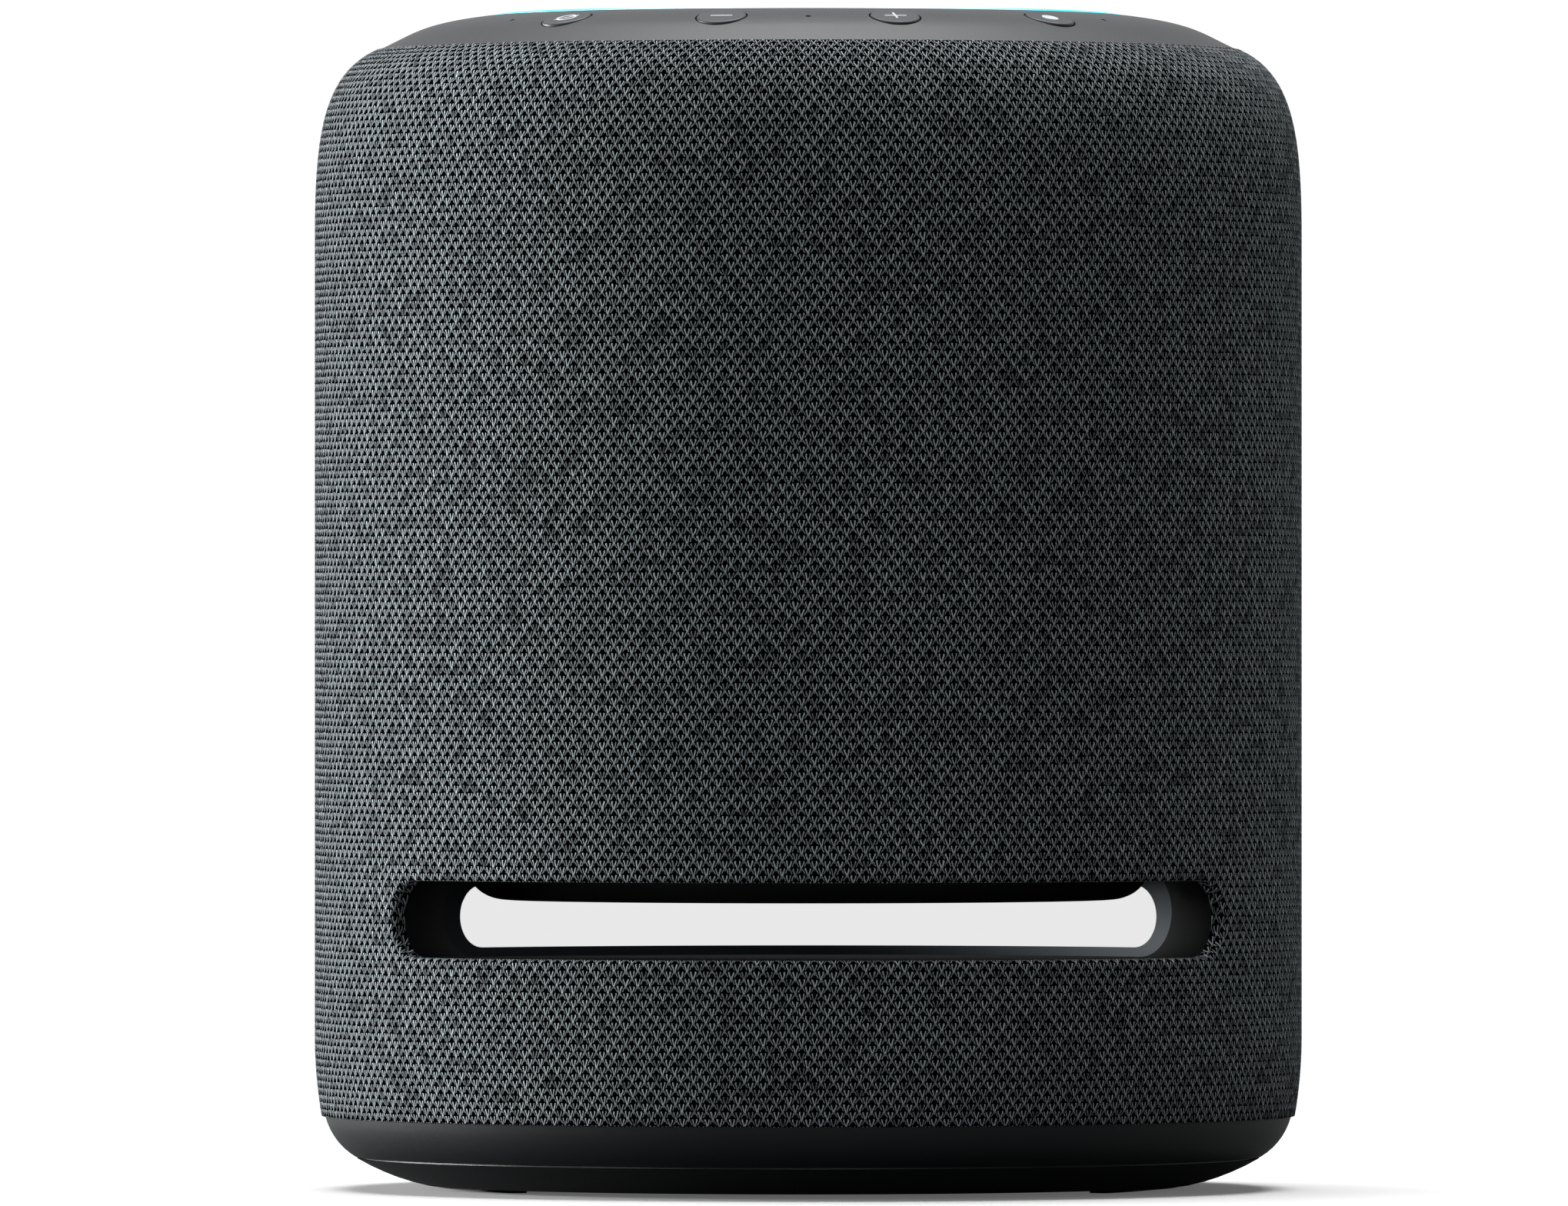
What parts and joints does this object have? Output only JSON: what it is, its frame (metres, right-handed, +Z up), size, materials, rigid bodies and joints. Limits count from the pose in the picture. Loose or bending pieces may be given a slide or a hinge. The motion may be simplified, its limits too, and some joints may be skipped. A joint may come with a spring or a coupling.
{
  "type": "smart speaker",
  "caption": "Round fabric-covered smart speaker with a bass slot through its base, a touch band with push buttons and microphone holes on top, and a light ring inside the band.",
  "frame": {"origin": "on the floor, on the axis of the round body", "axes": "+Z up; the front, with the wide slot opening and the buttons, faces -Y"},
  "size_m": [0.174, 0.174, 0.2076],
  "materials": {
    "band_plastic": "fine matt moulded texture",
    "base_plastic": "satin",
    "button_plastic": "fine matt moulded texture",
    "circuit_board": "solder mask over glass fibre",
    "coil_winding": "enamelled copper wire",
    "component_plastic": "moulded",
    "cone_paper": "pressed pulp",
    "diffuser": "translucent, lit from inside",
    "dome_silk": "coated silk",
    "driver_frame": "satin black paint",
    "ferrite": "sintered",
    "foot_rubber": "matt",
    "heat_sink_aluminium": "extruded",
    "inlet_plastic": "satin",
    "knit_fabric": "heather knit of charcoal and light grey yarn",
    "led_package": "white moulded",
    "pin_brass": "nickel-flashed",
    "plated_steel": "zinc plated",
    "shell_plastic": "fine moulded texture",
    "spider_cloth": "resin-treated cloth",
    "surround_rubber": "matt",
    "wire_sheath": "smooth"
  },
  "bodies": {
    "housing": {"amplifier_chip": "component_plastic", "audio_jack": "inlet_plastic", "base_pan": "base_plastic", "base_screws": "plated_steel", "base_shell": "base_plastic", "board_screws": "plated_steel", "driver_screws": "plated_steel", "foot_pads": "foot_rubber", "heat_sink": "heat_sink_aluminium", "inlet_pins": "pin_brass", "internal_leads": "wire_sheath", "knit_sleeve": "knit_fabric", "light_ring": "diffuser", "main_board": "circuit_board", "mains_inlet": "inlet_plastic", "mic_seals": "surround_rubber", "microphones": "component_plastic", "mid_frames": "driver_frame", "mid_left_surround": "surround_rubber", "mid_magnets": "ferrite", "mid_right_surround": "surround_rubber", "mid_top_surround": "surround_rubber", "outer_shell": "shell_plastic", "port_baffle": "shell_plastic", "port_floor": "shell_plastic", "port_pillars": "shell_plastic", "power_board": "circuit_board", "power_capacitors": "component_plastic", "power_transformer": "component_plastic", "ring_board": "circuit_board", "ring_leds": "led_package", "shield_cans": "plated_steel", "slot_shell": "shell_plastic", "socket_panel": "base_plastic", "tact_switches": "component_plastic", "top_cable": "wire_sheath", "top_deck": "shell_plastic", "top_grille": "shell_plastic", "top_knit": "knit_fabric", "top_ring": "band_plastic", "tweeter_magnet": "ferrite", "tweeter_plate": "driver_frame", "usb_socket": "plated_steel", "woofer_frame": "driver_frame", "woofer_gasket": "surround_rubber", "woofer_iron": "plated_steel", "woofer_magnet": "ferrite", "woofer_spider": "spider_cloth", "woofer_surround": "surround_rubber"},
    "mute_button": {"mute_button": "button_plastic"},
    "volume_down_button": {"volume_down_button": "button_plastic"},
    "volume_up_button": {"volume_up_button": "button_plastic"},
    "action_button": {"action_button": "button_plastic"},
    "woofer_cone_body": {"woofer_cone": "cone_paper", "woofer_dust_cap": "cone_paper", "woofer_voice_coil": "coil_winding"},
    "mid_left_cone_body": {"mid_left_cone": "cone_paper"},
    "mid_right_cone_body": {"mid_right_cone": "cone_paper"},
    "mid_top_cone_body": {"mid_top_cone": "cone_paper"},
    "tweeter_dome_body": {"tweeter_dome": "dome_silk"}
  },
  "joints": [
    {"name": "mute_press", "type": "slide", "parent": "housing", "child": "mute_button", "axis": [0.1721, 0.208, -0.9629], "range_m": [0, 0.0006], "stiffness_N_per_m": 800},
    {"name": "volume_down_press", "type": "slide", "parent": "housing", "child": "volume_down_button", "axis": [0.0616, 0.2628, -0.9629], "range_m": [0, 0.0006], "stiffness_N_per_m": 800},
    {"name": "volume_up_press", "type": "slide", "parent": "housing", "child": "volume_up_button", "axis": [-0.0616, 0.2628, -0.9629], "range_m": [0, 0.0006], "stiffness_N_per_m": 800},
    {"name": "action_press", "type": "slide", "parent": "housing", "child": "action_button", "axis": [-0.1721, 0.208, -0.9629], "range_m": [0, 0.0006], "stiffness_N_per_m": 800},
    {"name": "woofer_cone_body_stroke", "type": "slide", "parent": "housing", "child": "woofer_cone_body", "axis": [0, 0, -1], "range_m": [-0.004, 0.004], "stiffness_N_per_m": 2500, "deforming": ["woofer_surround", "woofer_spider"]},
    {"name": "mid_left_cone_body_stroke", "type": "slide", "parent": "housing", "child": "mid_left_cone_body", "axis": [-1, 0, 0], "range_m": [-0.0015, 0.0015], "stiffness_N_per_m": 1500, "deforming": ["mid_left_surround"]},
    {"name": "mid_right_cone_body_stroke", "type": "slide", "parent": "housing", "child": "mid_right_cone_body", "axis": [1, 0, 0], "range_m": [-0.0015, 0.0015], "stiffness_N_per_m": 1500, "deforming": ["mid_right_surround"]},
    {"name": "mid_top_cone_body_stroke", "type": "slide", "parent": "housing", "child": "mid_top_cone_body", "axis": [0, 0, 1], "range_m": [-0.0015, 0.0015], "stiffness_N_per_m": 1500, "deforming": ["mid_top_surround"]},
    {"name": "tweeter_dome_stroke", "type": "slide", "parent": "housing", "child": "tweeter_dome_body", "axis": [0, -1, 0], "range_m": [-0.0003, 0.0003], "stiffness_N_per_m": 1000}
  ]
}
